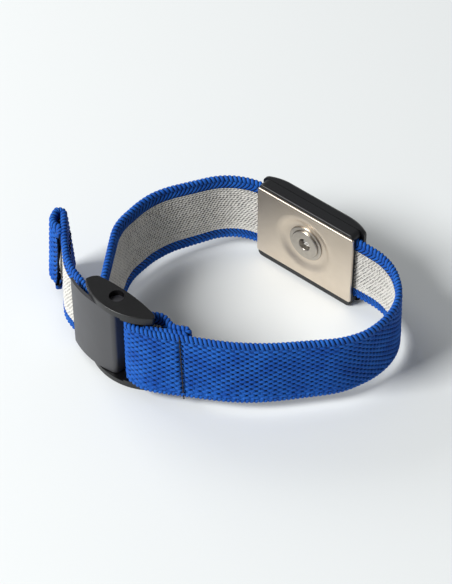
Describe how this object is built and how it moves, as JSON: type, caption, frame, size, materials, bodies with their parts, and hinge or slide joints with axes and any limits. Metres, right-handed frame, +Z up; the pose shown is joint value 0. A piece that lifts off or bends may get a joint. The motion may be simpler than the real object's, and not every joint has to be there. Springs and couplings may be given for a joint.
{
  "type": "esd wrist strap",
  "caption": "Anti-static wrist strap: elastic knit band with conductive inner face, riveted contact housing with snap stud, and cam buckle.",
  "frame": {"origin": "middle of the whole strap's outline seen from above, on the surface it stands on", "axes": "+Z up across the band's width; +Y out of the housing along the snap stud; +X along the contact plate, from the tail's side to the free side"},
  "size_m": [0.0792, 0.0606, 0.0236],
  "materials": {
    "plate_steel": "satin stainless sheet",
    "rivet_nickel": "nickel plated, polished",
    "housing_plastic": "moulded black, satin",
    "buckle_plastic": "moulded black, fine spark texture",
    "lever_plastic": "moulded dark grey, satin",
    "band_knit": "ribbed elastic knit, blue",
    "conductive_knit": "silver-grey conductive yarn, knitted in",
    "sewing_thread": "black sewing thread"
  },
  "bodies": {
    "strap": {"contact_plate": "plate_steel", "snap_eyelet": "rivet_nickel", "snap_stud": "rivet_nickel", "housing_base": "housing_plastic", "housing_cover": "housing_plastic", "buckle_frame": "buckle_plastic", "elastic_band": "band_knit", "conductive_face": "conductive_knit", "loop_seam": "sewing_thread", "hem_seam": "sewing_thread"},
    "lever": {"buckle_lever": "lever_plastic"}
  },
  "joints": [
    {"name": "lever_pivot", "type": "hinge", "parent": "strap", "child": "lever", "pos_m": [-0.00767, -0.02633, 0.0118], "axis": [0, 0, 1], "range_deg": [0, 90]}
  ]
}
